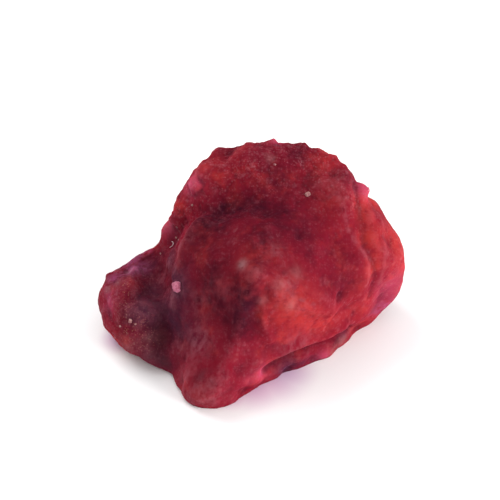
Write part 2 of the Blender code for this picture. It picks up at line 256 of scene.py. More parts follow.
KNOBS = {
    "boss_knob": (0.12, 0.35, (-113, 19)),
    "boss_top": (0.10, 0.30, (-60, 66)),
    "front_toe": (0.16, 0.40, (-90, -27)),
    "crest_knob": (0.24, 0.45, (130, 36)),
    "right_knob": (0.14, 0.30, (7, 20)),
    "flank_knob": (0.12, 0.40, (2, -2)),
    "heel_knob": (0.10, 0.45, (-150, -22)),
    "foot_shoulder": (0.14, 0.40, (180, -6)),
    "left_bulge": (0.38, 0.50, (154, -3)),
    "right_bump": (0.18, 0.45, (18, 23)),
    "low_right_pit": (-0.28, 0.65, (-10, -39)),
    "upper_left_dent": (-0.18, 0.60, (108, 38)),
    "back_left_dent": (-0.20, 0.50, (146, 25)),
    "foot_top_dent": (-0.30, 0.75, (173, -10)),
    "saddle_dent": (-0.20, 0.60, (164, -11)),
    "right_brow": (0.16, 0.60, (21, 11)),
    "right_dent": (-0.12, 0.50, (4, 1)),
    "right_waist": (-0.16, 0.50, (3, 7)),
    "right_cheek": (0.17, 0.60, (3, -19)),
    "toe_corner": (-0.16, 0.50, (-97, -35)),
    "toe_side": (-0.20, 0.50, (-95, -39)),
    "lip_dent": (-0.22, 0.45, (-66, -47)),
    "low_lip": (0.20, 0.50, (-35, -46)),
    "lobe_side": (-0.12, 0.45, (-126, -32)),
    "lobe_crook": (-0.12, 0.45, (-141, -35)),
    "toe_pit": (-0.12, 0.50, (-163, -24)),
    "foot_side": (-0.20, 0.50, (-168, -17)),
    "boss_pit": (-0.14, 0.22, (-79, 54)),
    "upper_pit": (-0.16, 0.30, (28, 38)),
    "side_pit": (-0.18, 0.32, (-31, -5)),
    "valley_pit": (-0.14, 0.40, (-131, -1)),
    "shoulder_pit": (-0.12, 0.25, (-29, 45)),
    "back_pit": (-0.25, 0.45, (84, -16)),
}
# Each crystal: where it is, its half-lengths, and its turn in degrees.
CRYSTALS = {
    "right_nub": ((21, 25), (0.27, 0.29, 0.34), (25, 20, 30)),
    "left_corner": ((138, 32), (0.33, 0.31, 0.28), (10, 35, 20)),
    "crest_left": ((93, 41), (0.30, 0.24, 0.20), (20, 5, 10)),
    "crest_middle": ((80, 40), (0.32, 0.32, 0.34), (35, 12, 40)),
    "crest_right": ((60, 37), (0.28, 0.25, 0.23), (15, -12, -15)),
    "crest_end": ((41, 33), (0.27, 0.26, 0.24), (40, 10, 25)),
    "left_step": ((153, 9), (0.32, 0.34, 0.34), (0, 30, 35)),
    "foot_block": ((177, -13), (0.34, 0.30, 0.22), (10, -20, 30)),
    "foot_end": ((-176, -14), (0.28, 0.32, 0.24), (15, 30, 5)),
    "foot_tip": ((-163, -22), (0.24, 0.28, 0.24), (5, 40, 25)),
    "back_block": ((88, 4), (0.60, 0.42, 0.46), (10, 30, 12)),
    "back_cube": ((104, -12), (0.42, 0.40, 0.40), (30, 10, 35)),
    "back_tooth": ((52, 6), (0.40, 0.40, 0.55), (15, 25, 40)),
    "back_low": ((74, -34), (0.50, 0.36, 0.34), (0, 15, 25)),
}
CRYSTAL_SINK = 0.13  # how deep a crystal's middle is under the surface
CRYSTAL_WEAR = 3  # rounds of softening that wear the crystals' edges round
LEAST_CLIMB = 0.02  # keeps the way out of a crystal from being endless along its sides


def route(path):
    """Points on the lump along a smooth line through the path's directions (a Catmull-Rom curve)."""
    ends = facing(path)
    ends = np.vstack([2 * ends[0] - ends[1], ends, 2 * ends[-1] - ends[-2]])
    t = np.linspace(0, 1, FOLD_STEPS, endpoint=False)[:, None]
    weights = [-t + 2 * t**2 - t**3, 2 - 5 * t**2 + 3 * t**3, t + 4 * t**2 - 3 * t**3, t**3 - t**2]
    stretches = [sum(w * ends[i + j] for j, w in enumerate(weights)) / 2 for i in range(len(ends) - 3)]
    line = np.vstack([*stretches, ends[-2]])
    return outermost(line / np.linalg.norm(line, axis=1, keepdims=True))


def segment_distance(points, start, end):
    """How far each point is from the straight line between start and end."""
    along = end - start
    share = np.clip((points - start) @ along / (along @ along), 0, 1)
    return np.linalg.norm(points - start - share[:, None] * along, axis=1)


def path_bell(points, half_width, path):
    """1 on the path, falling off to each side as a bell of that half-width."""
    corners = route(path)
    away = np.min([segment_distance(points, *ends) for ends in zip(corners, corners[1:])], axis=0)
    return np.exp(-np.square(away / half_width))


def spot_at(where):
    """A place on the lump. It is given as a direction of two angles or, where a fold of the stone hides
    it, as a point of three lengths."""
    return outermost(facing(where))[0] if len(where) == 2 else np.array(where)


def place_bell(points, half_width, where):
    """1 at the place, falling off round it as a bell of that half-width."""
    return np.exp(-np.square(np.linalg.norm(points - spot_at(where), axis=1) / half_width))


def crystal_relief(points, normals):
    """How far each point is below the top of the crystal that it is in, measured along its normal."""
    height = np.zeros(len(points))
    for where, halves, turn in CRYSTALS.values():
        axes = turned(turn).T
        outward = facing(where)
        local = (points - outermost(outward) + CRYSTAL_SINK * outward) @ axes
        climb = normals @ axes
        climb = np.where(np.abs(climb) < LEAST_CLIMB, LEAST_CLIMB, climb)
        way_out = np.min((np.sign(climb) * halves - local) / climb, axis=1)
        inside = np.all(np.abs(local) < halves, axis=1)
        height = np.maximum(height, np.where(inside, way_out, 0))
    return height


def softened(values, quads, rounds):
    """The values averaged with their neighbours' round each cell, which rounds off what is sharp."""
    for _ in range(rounds):
        total = np.zeros(len(values))
        count = np.zeros(len(values))
        middles = values[quads].mean(axis=1)
        for corner in quads.T:
            total += np.bincount(corner, middles, len(values))
            count += np.bincount(corner, minlength=len(values))
        values = total / count
    return values


named_height = softened(crystal_relief(skin, skin_normals), skin_quads, CRYSTAL_WEAR)
for rise, half_width, path in FOLDS.values():
    named_height += rise * path_bell(skin, half_width, path)
for rise, half_width, where in KNOBS.values():
    named_height += rise * place_bell(skin, half_width, where)

# ---------------------------------------------------------------------------------------------
# The grain: corundum wears into soft swells and rounded pebbles, down to a sugary skin of grains
# about a tenth of a millimetre across. Each layer: half-height and size in millimetres, and a
# number that keeps its pattern apart from the others'.
# ---------------------------------------------------------------------------------------------
SWELL_LAYERS = ((0.16, 2.3, 1), (0.09, 1.15, 2))
PEBBLE_LAYERS = ((0.055, 0.95, 3),)
FINE_SWELLS = ((0.040, 0.60, 4), (0.022, 0.24, 5))
FINE_PEBBLES = ((0.034, 0.40, 6), (0.024, 0.21, 7))
NOISE_GAIN = 1.6  # brings the swells' noise up to the range from -1 to 1
# Where the skin is rugged: each patch's strength, half-width in millimetres and place, by area.
RUGGED_PATCHES = {
    "crest": ((1.0, 2.0, (120, 40)), (1.0, 2.0, (80, 42)), (0.9, 1.6, (45, 38))),
    "left_step": ((0.9, 1.3, (150, 15)),),
    "left_foot": ((1.0, 1.8, (178, -14)), (0.7, 1.8, (-160, -20))),
    "back": ((0.8, 1.6, (100, 0)),),
    "right_nub": ((0.6, 1.2, (15, 28)),),
}
SMOOTH_SHARE = 0.45  # how much of the fine relief is left where the stone is worn smoothest
CELL_MIX, SALT_MIX, KEY_MIX = (73856093, 19349663, 83492791), 15485863, 73244475  # large odd numbers
KEY_BITS = 0xFFFFFFFF  # keeps a key to 32 bits
SALT_STEP = 8  # leaves each layer room for a pattern along each of its three axes


def scattered(cells, salt):
    """A fixed number from 0 to 1 for each cell of a lattice, well mixed and the same every time."""
    keys = (cells @ np.array(CELL_MIX) + salt * SALT_MIX) & KEY_BITS
    for _ in range(2):
        keys = (keys ^ (keys >> 16)) * KEY_MIX & KEY_BITS
    return (keys ^ (keys >> 16)) / KEY_BITS


def swells(points, size, salt):
    """Smooth noise from about -1 to 1: a fixed slope is set at each corner of a lattice, and at each
    point the slopes of the eight corners round it are blended, with the share 6t^5 - 15t^4 + 10t^3
    for a corner at the far end of t (gradient noise)."""
    spots = points / size
    cells = np.floor(spots).astype(np.int64)
    inside = spots - cells
    ease = inside**3 * (inside * (inside * 6 - 15) + 10)
    total = np.zeros(len(points))
    for corner in np.ndindex(2, 2, 2):
        share = np.prod(np.where(corner, ease, 1 - ease), axis=1)
        slope = np.stack([scattered(cells + corner, SALT_STEP * salt + axis) for axis in range(3)], axis=1)
        total += share * np.sum((2 * slope - 1) * (inside - corner), axis=1)
    return NOISE_GAIN * total


def pebbles(points, size, salt):
    """Round tops from 0 to 1, each over one of the points that are scattered one to a lattice cell."""
    spots = points / size
    cells = np.floor(spots).astype(np.int64)
    nearest = np.ones(len(points))
    for step in np.ndindex(3, 3, 3):
        cell = cells + step - 1
        top = cell + np.stack([scattered(cell, SALT_STEP * salt + axis) for axis in range(3)], axis=1)
        nearest = np.minimum(nearest, np.sum(np.square(spots - top), axis=1))
    return 1 - nearest


def grain(swell_layers, pebble_layers):
    """The heights of the layers of swells and of pebbles, added up at each point of the skin."""
    height = np.zeros(len(skin))
    for half_height, size, salt in swell_layers:
        height += half_height * swells(skin, size, salt)
    for half_height, size, salt in pebble_layers:
        height += half_height * (2 * pebbles(skin, size, salt) - 1)
    return height


def patch_mask(areas):
    """The bells of the patches in all the areas, added up and kept to at most 1."""
    total = sum(strength * place_bell(skin, half_width, where)
                for patches in areas.values() for strength, half_width, where in patches)
    return np.minimum(total, 1.0)


coarse_height = named_height + grain(SWELL_LAYERS, PEBBLE_LAYERS)
fine_height = grain(FINE_SWELLS, FINE_PEBBLES)
rugged = patch_mask(RUGGED_PATCHES)
fine_height *= SMOOTH_SHARE + (1 - SMOOTH_SHARE) * rugged
stone_points = skin + skin_normals * (coarse_height + fine_height)[:, None]
stone_points[:, :2] -= BASE_MIDDLE
stone_points[:, 2] = np.maximum(stone_points[:, 2], 0.0)


def smooth_piece(name, points, faces):
    """An object with a smooth mesh of the points, given in millimetres, and of the faces, each a list of
    its points' numbers."""
    mesh = bpy.data.meshes.new(name)
    mesh.from_pydata((points * MILLIMETRE).tolist(), [], faces)
    mesh.polygons.foreach_set("use_smooth", np.ones(len(faces), bool))
    mesh.update()
    piece = bpy.data.objects.new(name, mesh)
    bpy.context.scene.collection.objects.link(piece)
    return piece


ruby = smooth_piece("ruby_skin", stone_points, skin_quads.tolist())

# ---------------------------------------------------------------------------------------------
# The colours: chromium makes corundum crimson. Light and shade are painted into them too: orange
# painted light where the stone is lit and lit through, a magenta painted glow at its thin edges, and
# maroon and purple painted shade in its valleys, hollows and underside. Each patch: how strong it is,
# its half-width in millimetres, and its place. They are listed by area.
# ---------------------------------------------------------------------------------------------
# Orange painted light where the stone faces the lamps or is lit through from behind.
PAINTED_LIGHT_PATCHES = {
    "belly": (
        (0.9, 1.1, (-70, 10)), (0.6, 1.0, (-58, -6)), (0.7, 0.8, (-40, -20)), (0.3, 0.6, (-22, -21))),
    "boss": (
        (0.15, 0.7, (-113, 19)), (0.5, 0.6, (-93, 44)), (0.3, 0.6, (-72, 44)), (0.4, 0.5, (-97, 23))),
    "crest": (
        (0.3, 0.9, (124, 40)), (0.5, 0.8, (40, 38)), (0.4, 0.8, (13, 37)), (0.6, 0.4, (100, 42))),
    "right_flank": (
        (0.9, 1.2, (8, 0)), (0.9, 0.5, (-4, 15)), (0.9, 0.5, (-11, 2)), (0.6, 0.7, (-12, -22)),
        (0.6, 0.6, (-4, -32)), (0.6, 0.5, (7, 22)), (0.5, 0.6, (-20, -4)), (0.3, 0.6, (2, 15))),
    "right_nub": ((0.8, 0.5, (14, 25)),),
    "front_foot": ((0.3, 0.6, (-112, -27)),),
    "left_foot": ((0.9, 0.22, (-5.5, -2.8, 1.5)),),
    "under_lip": ((0.6, 0.4, (-60, -38)),),
}
# A magenta painted glow where light shines through the stone's thin edges.
PAINTED_GLOW_PATCHES = {
    "right_nub": ((1.0, 0.40, (20, 25)),),
    "right_flank": ((0.5, 0.9, (-2, -16)),),
    "left_corner": ((1.0, 0.50, (139, 30)),),
    "left_step": ((0.55, 0.45, (152, 3)), (0.3, 0.35, (155, -3))),
    "crest": ((1.0, 0.28, (76, 39)),),
    "front_toe": ((0.8, 0.40, (-85, -36)), (0.2, 0.4, (-93, -33))),
    "under_lip": ((0.6, 0.3, (-37, -45)),),
    "left_foot": ((0.6, 0.40, (-6.4, -1.5, 2.3)),),
}
# Maroon painted shade in the valleys, folds, underside and on faces turned from the lamps.
PAINTED_SHADE_PATCHES = {
    "behind_the_boss": (
        (0.8, 0.8, (142, 58)), (0.5, 0.8, (88, 72)), (0.45, 0.9, (32, 84)), (0.6, 0.8, (10, 60)),
        (0.65, 0.7, (160, 50)), (0.9, 0.6, (180, 42)), (0.5, 0.6, (-170, 54))),
    "boss": (
        (1.0, 0.7, (-95, 15)), (1.0, 0.7, (-97, -4)), (0.65, 1.0, (-79, 56)), (0.7, 0.9, (-118, 2)),
        (0.7, 0.8, (-125, 20)), (0.25, 0.6, (-88, 34)), (0.12, 2.8, (-75, 42)), (0.35, 0.7, (-143, 47))),
    "left_rim": (
        (0.8, 0.8, (-148, -2)), (0.5, 0.6, (-169, 28)), (0.5, 0.8, (-148, 27)), (0.7, 0.7, (-158, 2))),
    "left_valley": (
        (1.0, 1.0, (-140, -24)), (1.0, 1.0, (-4.4, -2.1, 2.6)), (0.6, 0.6, (-4.4, -0.9, 2.7)),
        (0.6, 0.5, (-4.3, 0.5, 3.0)), (0.6, 0.5, (-4.0, 0.9, 3.6)), (0.6, 0.5, (-3.5, 0.2, 4.1)),
        (0.6, 0.6, (-3.5, -0.5, 3.8))),
    "left_foot": (
        (0.5, 0.5, (-5.1, -1.5, 3.0)), (0.4, 0.8, (-4.5, -2.9, 1.5)), (0.35, 0.5, (-5.4, -2.3, 2.7)),
        (0.5, 0.4, (-5.0, -2.4, 2.4)), (0.4, 0.4, (-5.7, -0.4, 3.2))),
    "under_lip": (
        (1.0, 0.45, (-64, -42)), (0.6, 0.4, (1.7, -3.5, 0.1)), (0.6, 0.3, (-50, -38)),
        (0.9, 0.4, (-26, -40))),
    "crest": (
        (0.6, 0.8, (60, 54)), (0.65, 0.6, (58, 44)), (0.3, 0.8, (78, 54)), (0.3, 0.6, (56, 38)),
        (0.4, 0.5, (24, 33))),
    "right_fold": (
        (0.6, 0.9, (-22, 44)), (0.3, 0.9, (-26, 6)), (0.3, 0.6, (-38, 8)), (0.35, 0.6, (-24, -2)),
        (0.3, 0.6, (-18, 17))),
}
# Purple painted shade in the left valley, on the left rim and foot, and under the lip.
PAINTED_PURPLE_SHADE_PATCHES = {
    "left_valley": (
        (0.5, 0.8, (-4.4, -2.1, 2.6)), (0.4, 0.5, (-3.5, -0.2, 4.0)), (0.5, 1.0, (-142, -22)),
        (0.5, 0.6, (-4.4, -0.7, 2.8)), (0.4, 0.4, (-4.7, 0.4, 2.9)), (0.5, 0.6, (-141, -35)),
        (0.4, 0.7, (-148, -30))),
    "left_rim": ((0.7, 0.9, (-152, -2)),),
    "left_foot": (
        (0.7, 0.6, (-5.4, 0.3, 3.1)), (0.3, 0.4, (-6.2, -0.4, 2.9)), (0.45, 0.4, (-5.8, -0.7, 3.1)),
        (0.4, 0.45, (-5.0, -2.2, 2.5)), (0.6, 0.5, (-5.2, 1.4, 2.8)), (0.5, 0.4, (-6.1, 0.9, 2.5))),
    "front_foot": ((0.3, 0.7, (-123, -21)),),
    "boss": ((0.12, 0.6, (-97, 8)),),
    "under_lip": (
        (0.8, 0.5, (-70, -42)), (0.5, 0.4, (2.4, -3.2, 0.4)), (0.7, 0.4, (1.7, -3.5, 0.1)),
        (0.5, 0.4, (3.0, -2.7, 0.2)), (0.4, 0.35, (-20, -38))),
}
VIOLET_PATCHES = {
    "left_foot": (
        (0.8, 0.40, (-5.5, 0.3, 3.1)), (0.7, 0.35, (-4.9, 0.5, 3.0)), (0.5, 0.35, (-6.2, -0.2, 2.9)),
        (0.5, 0.45, (-5.5, 1.2, 2.8)), (0.5, 0.30, (-4.8, 1.5, 3.0)), (0.3, 0.40, (-6.3, -1.2, 2.6))),
    "right_flank": ((0.4, 0.50, (6.2, -0.3, 1.3)), (0.3, 0.40, (5.8, -0.6, 1.0))),
}
FROSTY_PATCHES = {
    "front_foot": (
        (0.4, 0.7, (-108, -27)), (0.6, 0.6, (-122, -22)), (0.5, 0.6, (-125, -30)),
        (0.4, 0.7, (-123, -19)), (0.4, 0.9, (-118, -26)), (0.25, 0.6, (-91, -27)),
        (0.4, 0.5, (-135, -28)), (0.3, 0.5, (-114, -30))),
    "left_rim": ((0.6, 0.6, (-150, -2)), (0.3, 0.5, (-171, 22)), (0.4, 0.6, (-130, -3))),
    "left_step": ((0.5, 0.4, (152, 1)),),
    "left_valley": (
        (0.3, 0.8, (-4.4, -2.1, 2.6)), (0.5, 0.5, (-4.1, -0.3, 3.0)), (0.5, 0.5, (-3.5, -0.4, 3.9))),
    "left_foot": ((0.4, 0.4, (-170, -21)), (0.5, 0.5, (-5.4, 0.3, 3.1))),
    "boss": ((0.3, 0.7, (-113, 12)), (0.9, 0.26, (-101, 35)), (0.5, 0.4, (-67, 45))),
    "belly": (
        (0.7, 0.5, (-69, 20)), (0.4, 0.4, (-62, 2)), (0.4, 0.8, (-65, -25)), (0.3, 0.6, (-60, -30))),
    "crest": ((0.1, 1.0, (92, 43)), (0.1, 0.6, (45, 46)), (0.3, 0.6, (24, 39))),
}
# Thin lines of frost on worn ridges: strength, half-width and path.
FROSTY_LINES = {
    "left_rim": (0.6, 0.30, ((-150, -14), (-156, -4), (-163, 4), (-169, 14), (-171, 26))),
    "left_rim_edge": (0.4, 0.10, ((-163, 4), (-169, 14), (-170, 20))),
    "right_fold": (0.5, 0.12, ((14, 36), (-2, 26), (-9, 15), (-15, -6))),
    "right_flank": (0.4, 0.10, ((20, 16), (6, 12), (-6, 4), (-8, -10))),
    "belly": (0.5, 0.10, ((-76, 16), (-62, 10), (-50, 0))),
}
GOLD_PATCHES = {
    "left_foot": (
        (1.0, 0.5, (-5.7, -2.0, 2.8)), (1.0, 0.45, (-5.7, -1.2, 3.1)), (0.7, 0.6, (-5.4, -2.8, 1.8)),
        (0.6, 0.6, (-4.9, -2.4, 2.4)), (0.7, 0.6, (-4.6, -2.9, 1.5))),
    "crest": ((0.15, 0.8, (120, 40)),),
    "right_flank": ((0.6, 1.3, (6, 4)), (0.5, 0.9, (-3, -14)), (0.4, 0.7, (14, 24))),
}
# Smears of pale dust in the pores of the skin.
DUST_PATCHES = {
    "boss": (
        (1.0, 0.20, (-101, 35)), (0.15, 0.25, (-87, 31)), (0.35, 0.2, (-85, 12)), (0.3, 0.3, (-57, 25))),
    "belly": ((0.4, 0.25, (-72, 21)), (0.5, 0.28, (-67, 7))),
    "crest": ((0.5, 0.2, (75, 51)),),
    "left_foot": (
        (0.5, 0.15, (-6.0, -0.8, 3.1)), (0.6, 0.15, (-6.3, -0.8, 2.7)), (0.8, 0.2, (-5.5, 0.2, 3.1)),
        (0.3, 0.3, (-4.6, -2.9, 1.6)), (0.35, 0.4, (-5.6, -2.8, 1.3)), (0.2, 0.35, (-4.5, -3.2, 0.9)),
        (0.15, 0.35, (-3.9, -3.4, 0.6)), (0.15, 0.4, (-4.1, -2.7, 1.5))),
    "under_lip": ((0.5, 0.35, (4.2, -1.8, 0.4)), (0.3, 0.3, (3.6, -2.2, 0.3))),
}
WEAR_ROUNDS = 14  # of softening, which reaches about a quarter of a millimetre
EDGE_BULGE = (0.010, 0.045)  # how far over its surroundings an edge begins to pale, and is pale
HOLLOW_SHADE_DEPTH = (0.002, 0.032)  # how far under them a hollow begins to take painted shade, and is fully shaded
FINE_WEAR = 0.5  # the share of the fine grain that counts when edges and hollows are told apart
worn_skin = skin + skin_normals * (coarse_height + FINE_WEAR * fine_height)[:, None]
settled = np.stack([softened(along, skin_quads, WEAR_ROUNDS) for along in worn_skin.T], axis=1)
bulge = np.sum((worn_skin - settled) * skin_normals, axis=1)  # above 0 on edges, below 0 in hollows
frosty = patch_mask(FROSTY_PATCHES)
for strength, half_width, path in FROSTY_LINES.values():
    frosty = np.maximum(frosty, strength * path_bell(skin, half_width, path))


def store(mesh, name, values):
    """Keeps the values on the mesh's points, where its material reads them by that name."""
    attribute = mesh.attributes.new(name, "FLOAT", "POINT")
    attribute.data.foreach_set("value", np.asarray(values, np.float32))


store(ruby.data, "edge", np.interp(bulge, EDGE_BULGE, (0, 1)))
# The hollows get painted shade.
store(ruby.data, "hollow", np.interp(-bulge, HOLLOW_SHADE_DEPTH, (0, 1)))
store(ruby.data, "rugged", rugged)
store(ruby.data, "frosty", frosty)
# Of these masks the first is orange painted light, the second a magenta painted glow, and the third and
# fourth painted shade.
for name, areas in (
        ("painted_light", PAINTED_LIGHT_PATCHES), ("pink", PAINTED_GLOW_PATCHES), ("dark", PAINTED_SHADE_PATCHES),
        ("purple", PAINTED_PURPLE_SHADE_PATCHES), ("violet", VIOLET_PATCHES), ("gold", GOLD_PATCHES),
        ("dusty", DUST_PATCHES)):
    store(ruby.data, name, patch_mask(areas))

# ---------------------------------------------------------------------------------------------
# The ruby itself: waxy frosted corundum that lets light in half a millimetre or so. Sugary pale grains
# cover its skin, the tiniest with painted glints, with pale dust in the pores and tiny dark flecks among
# the grains.
# ---------------------------------------------------------------------------------------------
CRIMSON = (0.164, 0.0064, 0.0162, 1.0)
ORANGE_RED = (0.345, 0.0250, 0.0250, 1.0)
# Painted glow for the thin edges:
PAINTED_GLOW_MAGENTA = (0.400, 0.0480, 0.0980, 1.0)
# Maroon is the stone's own darker cloud, and also painted shade in its folds and hollows.
MAROON = (0.029, 0.0030, 0.0090, 1.0)
# Dark purple used as painted shade:
PAINTED_SHADE_PURPLE = (0.060, 0.0140, 0.0330, 1.0)
VIOLET = (0.300, 0.0620, 0.1550, 1.0)
GOLDEN = (0.440, 0.1800, 0.1350, 1.0)
FROST = (0.380, 0.1250, 0.1600, 1.0)
FLECK = (0.022, 0.0045, 0.0080, 1.0)
# Tiny pale spots used as painted glints.
PAINTED_GLINT = (0.500, 0.1800, 0.2200, 1.0)
DUST = (0.300, 0.1600, 0.1650, 1.0)
GLOW_SHARE, GLOW_DEPTH = 0.5, 0.5 * MILLIMETRE  # how much light goes into the stone, and how far
GLOW_SPREAD = (1.0, 0.14, 0.22)  # red light goes furthest into ruby
FROSTED_SHINE, FROSTED_IOR = 0.012, 1.55  # a frosted skin has almost no mirror shine
NOISE_MIDDLE = (0.5, 0.5, 0.5)  # taken off a noise, it leaves a sway to all sides
CLOUD_ROUGHNESS = 0.6  # how strongly a cloud's finer swirls show
STREAK_STRETCH = (1.0, 1.0, 0.45)  # frost hangs in streaks about twice as high as they are wide
GRAIN_HEIGHT = 0.05 * MILLIMETRE


class Wiring:
    """Adds nodes to one node tree and joins them, with each step named in the order it happens."""

    def __init__(self, tree):
        self.tree = tree

    def node(self, kind, values=None, **settings):
        node = self.tree.nodes.new(kind)
        for name, value in settings.items():
            setattr(node, name, value)
        for socket, value in (values or {}).items():
            self.feed(node.inputs[socket], value)
        return node

    def feed(self, socket, value):
        if isinstance(value, bpy.types.NodeSocket):
            self.tree.links.new(value, socket)
        else:
            socket.default_value = value

    def math(self, operation, first, second=0.0, clamp=False):
        node = self.node("ShaderNodeMath", {0: first, 1: second}, operation=operation, use_clamp=clamp)
        return node.outputs[0]

    def plus(self, first, second, clamp=False):
        return self.math("ADD", first, second, clamp)

    def minus(self, first, second):
        return self.math("SUBTRACT", first, second)

    def times(self, first, second):
        return self.math("MULTIPLY", first, second)

    def vector(self, operation, first, second):
        """The operation on two vectors or, for SCALE, on a vector and a number."""
        slot = "Scale" if operation == "SCALE" else 1
        node = self.node("ShaderNodeVectorMath", {0: first, slot: second}, operation=operation)
        return node.outputs[0]

    def noise(self, spot, scale, detail, roughness=0.5, swirl=0.0):
        return self.node("ShaderNodeTexNoise", {"Vector": spot, "Scale": scale, "Detail": detail,
                                                "Roughness": roughness, "Distortion": swirl})

    def between(self, value, low, high):
        """0 at low and 1 at high, with a soft step between them. Low may be the greater of the two."""
        node = self.node("ShaderNodeMapRange", {"Value": value, "From Min": low, "From Max": high},
                         interpolation_type="SMOOTHSTEP")
        return node.outputs["Result"]

    def mixed(self, share, first, second):
        """The first colour with a share of the second mixed into it. On a mix node, sockets 6 and 7 take
        the colours and socket 2 gives out theirs; the others are for numbers and vectors."""
        node = self.node("ShaderNodeMix", data_type="RGBA")
        self.feed(node.inputs["Factor"], share)
        self.feed(node.inputs[6], first)
        self.feed(node.inputs[7], second)
        return node.outputs[2]

    def attribute(self, name):
        return self.node("ShaderNodeAttribute", attribute_name=name).outputs["Fac"]


def group_shell(name, inputs, outputs):
    """An empty node group with named inputs and outputs, given as (name, kind, value)."""
    tree = bpy.data.node_groups.new(name, "ShaderNodeTree")
    for label, kind, value in inputs:
        socket = tree.interface.new_socket(label, in_out="INPUT", socket_type=kind)
        if value is not None:
            socket.default_value = value
    for label, kind in outputs:
        tree.interface.new_socket(label, in_out="OUTPUT", socket_type=kind)
    return tree, Wiring(tree), tree.nodes.new("NodeGroupInput"), tree.nodes.new("NodeGroupOutput")


def sugar_grains_group():
    """Pale grains in a darker skin, one to a cell: a share of the cells hold a grain, each with its own
    strength. It gives out the grains' mask, their height, and a mask of a few cells that are flecks."""
    tree, wire, given, out = group_shell(
        "sugar_grains",
        [("Vector", "NodeSocketVector", None), ("Grain Size", "NodeSocketFloat", 0.0001),
         ("Share", "NodeSocketFloat", 0.3), ("Fleck Share", "NodeSocketFloat", 0.02)],
        [("Pale", "NodeSocketFloat"), ("Height", "NodeSocketFloat"), ("Fleck", "NodeSocketFloat")])
    scale = wire.math("DIVIDE", 1.0, given.outputs["Grain Size"])
    sway = wire.noise(given.outputs["Vector"], scale, 2.0).outputs["Color"]
    sway = wire.vector("SUBTRACT", sway, NOISE_MIDDLE)
    sway = wire.vector("SCALE", sway, given.outputs["Grain Size"])
    warped = wire.vector("ADD", given.outputs["Vector"], sway)
    cells = wire.node("ShaderNodeTexVoronoi", {"Vector": warped, "Scale": scale})
    dome = wire.between(cells.outputs["Distance"], 0.75, 0.05)
    pick = wire.node("ShaderNodeSeparateColor", {"Color": cells.outputs["Color"]})
    held = wire.math("LESS_THAN", pick.outputs["Red"], given.outputs["Share"])
    strength = wire.plus(0.35, wire.times(pick.outputs["Green"], 0.65))
    wire.feed(out.inputs["Pale"], wire.times(wire.times(dome, held), strength))
    wire.feed(out.inputs["Height"], wire.times(dome, strength))
    fleck = wire.math("LESS_THAN", pick.outputs["Blue"], given.outputs["Fleck Share"])
    wire.feed(out.inputs["Fleck"], wire.times(fleck, dome))
    return tree


sugar_grains = sugar_grains_group()


def new_material(name):
    material = bpy.data.materials.new(name)
    material.use_nodes = True
    return material, Wiring(material.node_tree), material.node_tree.nodes["Principled BSDF"]


